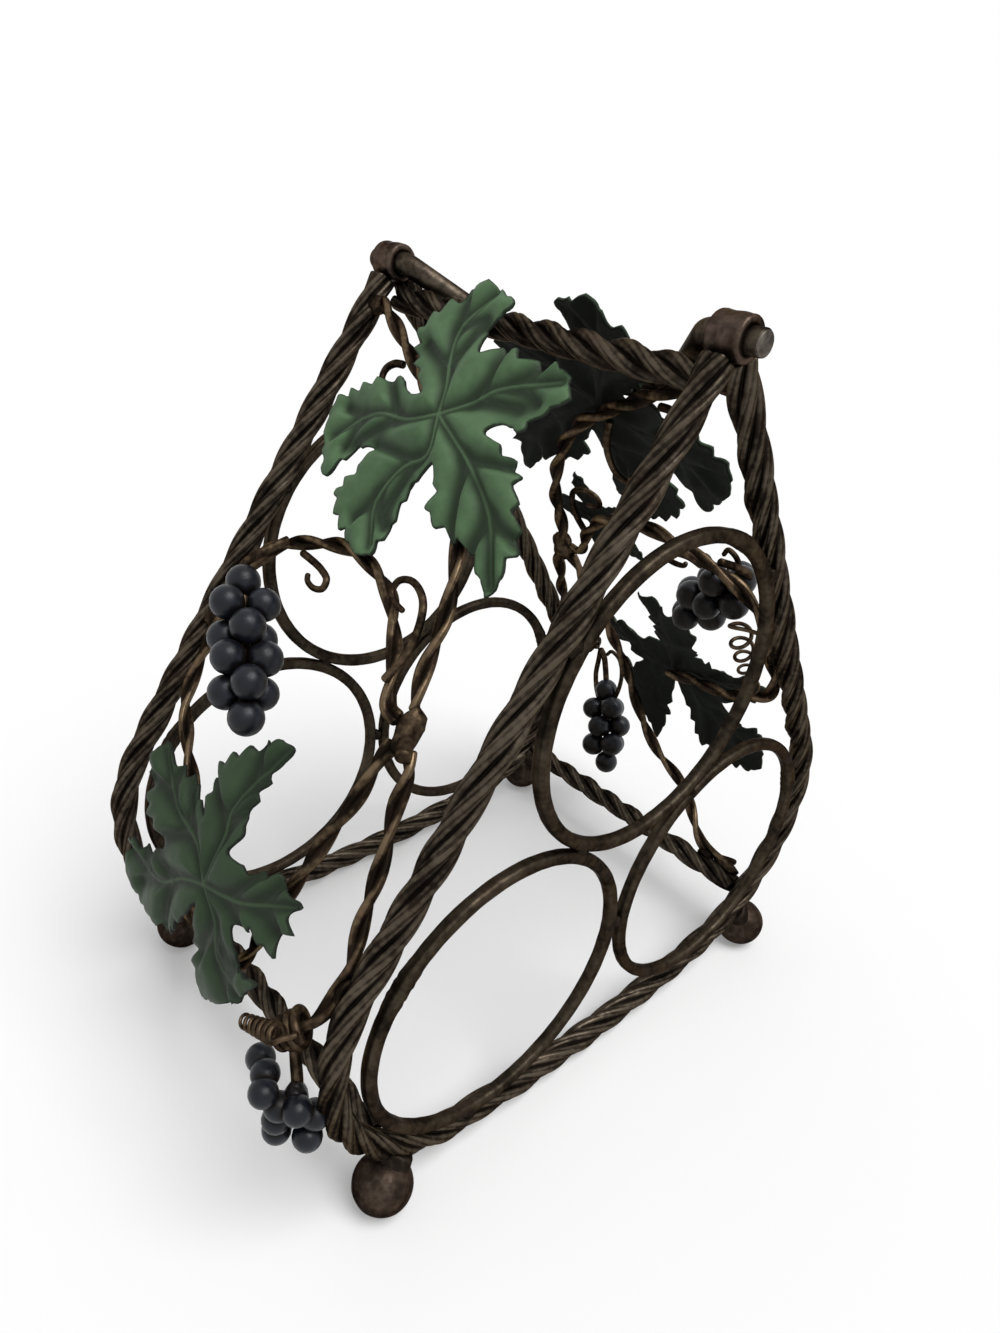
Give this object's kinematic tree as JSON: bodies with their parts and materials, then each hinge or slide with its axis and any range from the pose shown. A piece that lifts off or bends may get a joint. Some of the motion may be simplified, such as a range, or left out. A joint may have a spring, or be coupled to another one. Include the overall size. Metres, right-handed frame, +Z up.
{
  "type": "wine rack",
  "caption": "Table-top wrought iron wine rack: twisted loops hold round bottle rings at both ends, vines with leaves and grapes fill the sides, and a twisted bail handle folds down.",
  "frame": {"origin": "the middle of the rack's box, on the surface that the feet stand on", "axes": "+X along the handle and the bottles, -Y towards the front side, +Z up"},
  "size_m": [0.1654, 0.278, 0.2711],
  "materials": {
    "wrought_iron": "dark brown with bronze rubbed on the ridges",
    "vine_iron": "dark brown with bronze rubbed on the ridges",
    "green_paint": "satin dark green",
    "dark_blue_paint": "matte dark blue"
  },
  "bodies": {
    "rack": {"right_end_loop": "wrought_iron", "right_upper_ring": "wrought_iron", "right_front_ring": "wrought_iron", "right_back_ring": "wrought_iron", "right_collar": "wrought_iron", "right_front_foot": "wrought_iron", "right_back_foot": "wrought_iron", "left_end_loop": "wrought_iron", "left_upper_ring": "wrought_iron", "left_front_ring": "wrought_iron", "left_back_ring": "wrought_iron", "left_collar": "wrought_iron", "left_front_foot": "wrought_iron", "left_back_foot": "wrought_iron", "front_base_rail": "wrought_iron", "back_base_rail": "wrought_iron", "top_rail": "wrought_iron", "front_trunk_vine": "vine_iron", "front_arch_vine": "vine_iron", "front_corner_vine": "vine_iron", "front_leg_vine": "vine_iron", "front_vine_knot": "vine_iron", "front_upper_leaf": "green_paint", "front_lower_leaf": "green_paint", "front_upper_grapes": "dark_blue_paint", "front_lower_grapes": "dark_blue_paint", "front_arch_tendril": "vine_iron", "front_loop_tendril": "vine_iron", "front_top_tendril": "vine_iron", "front_hook_tendril": "vine_iron", "front_coil_tendril": "vine_iron", "back_trunk_vine": "vine_iron", "back_arch_vine": "vine_iron", "back_corner_vine": "vine_iron", "back_leg_vine": "vine_iron", "back_vine_knot": "vine_iron", "back_upper_leaf": "green_paint", "back_lower_leaf": "green_paint", "back_middle_leaf": "green_paint", "back_upper_grapes": "dark_blue_paint", "back_lower_grapes": "dark_blue_paint", "back_arch_tendril": "vine_iron", "back_loop_tendril": "vine_iron", "back_top_tendril": "vine_iron", "back_hook_tendril": "vine_iron", "back_coil_tendril": "vine_iron"},
    "handle": {"handle": "wrought_iron"}
  },
  "joints": [
    {"name": "handle_hinge", "type": "hinge", "parent": "rack", "child": "handle", "pos_m": [0, -0.00091, 0.26514], "axis": [1, 0, 0], "range_deg": [0, 250]}
  ]
}
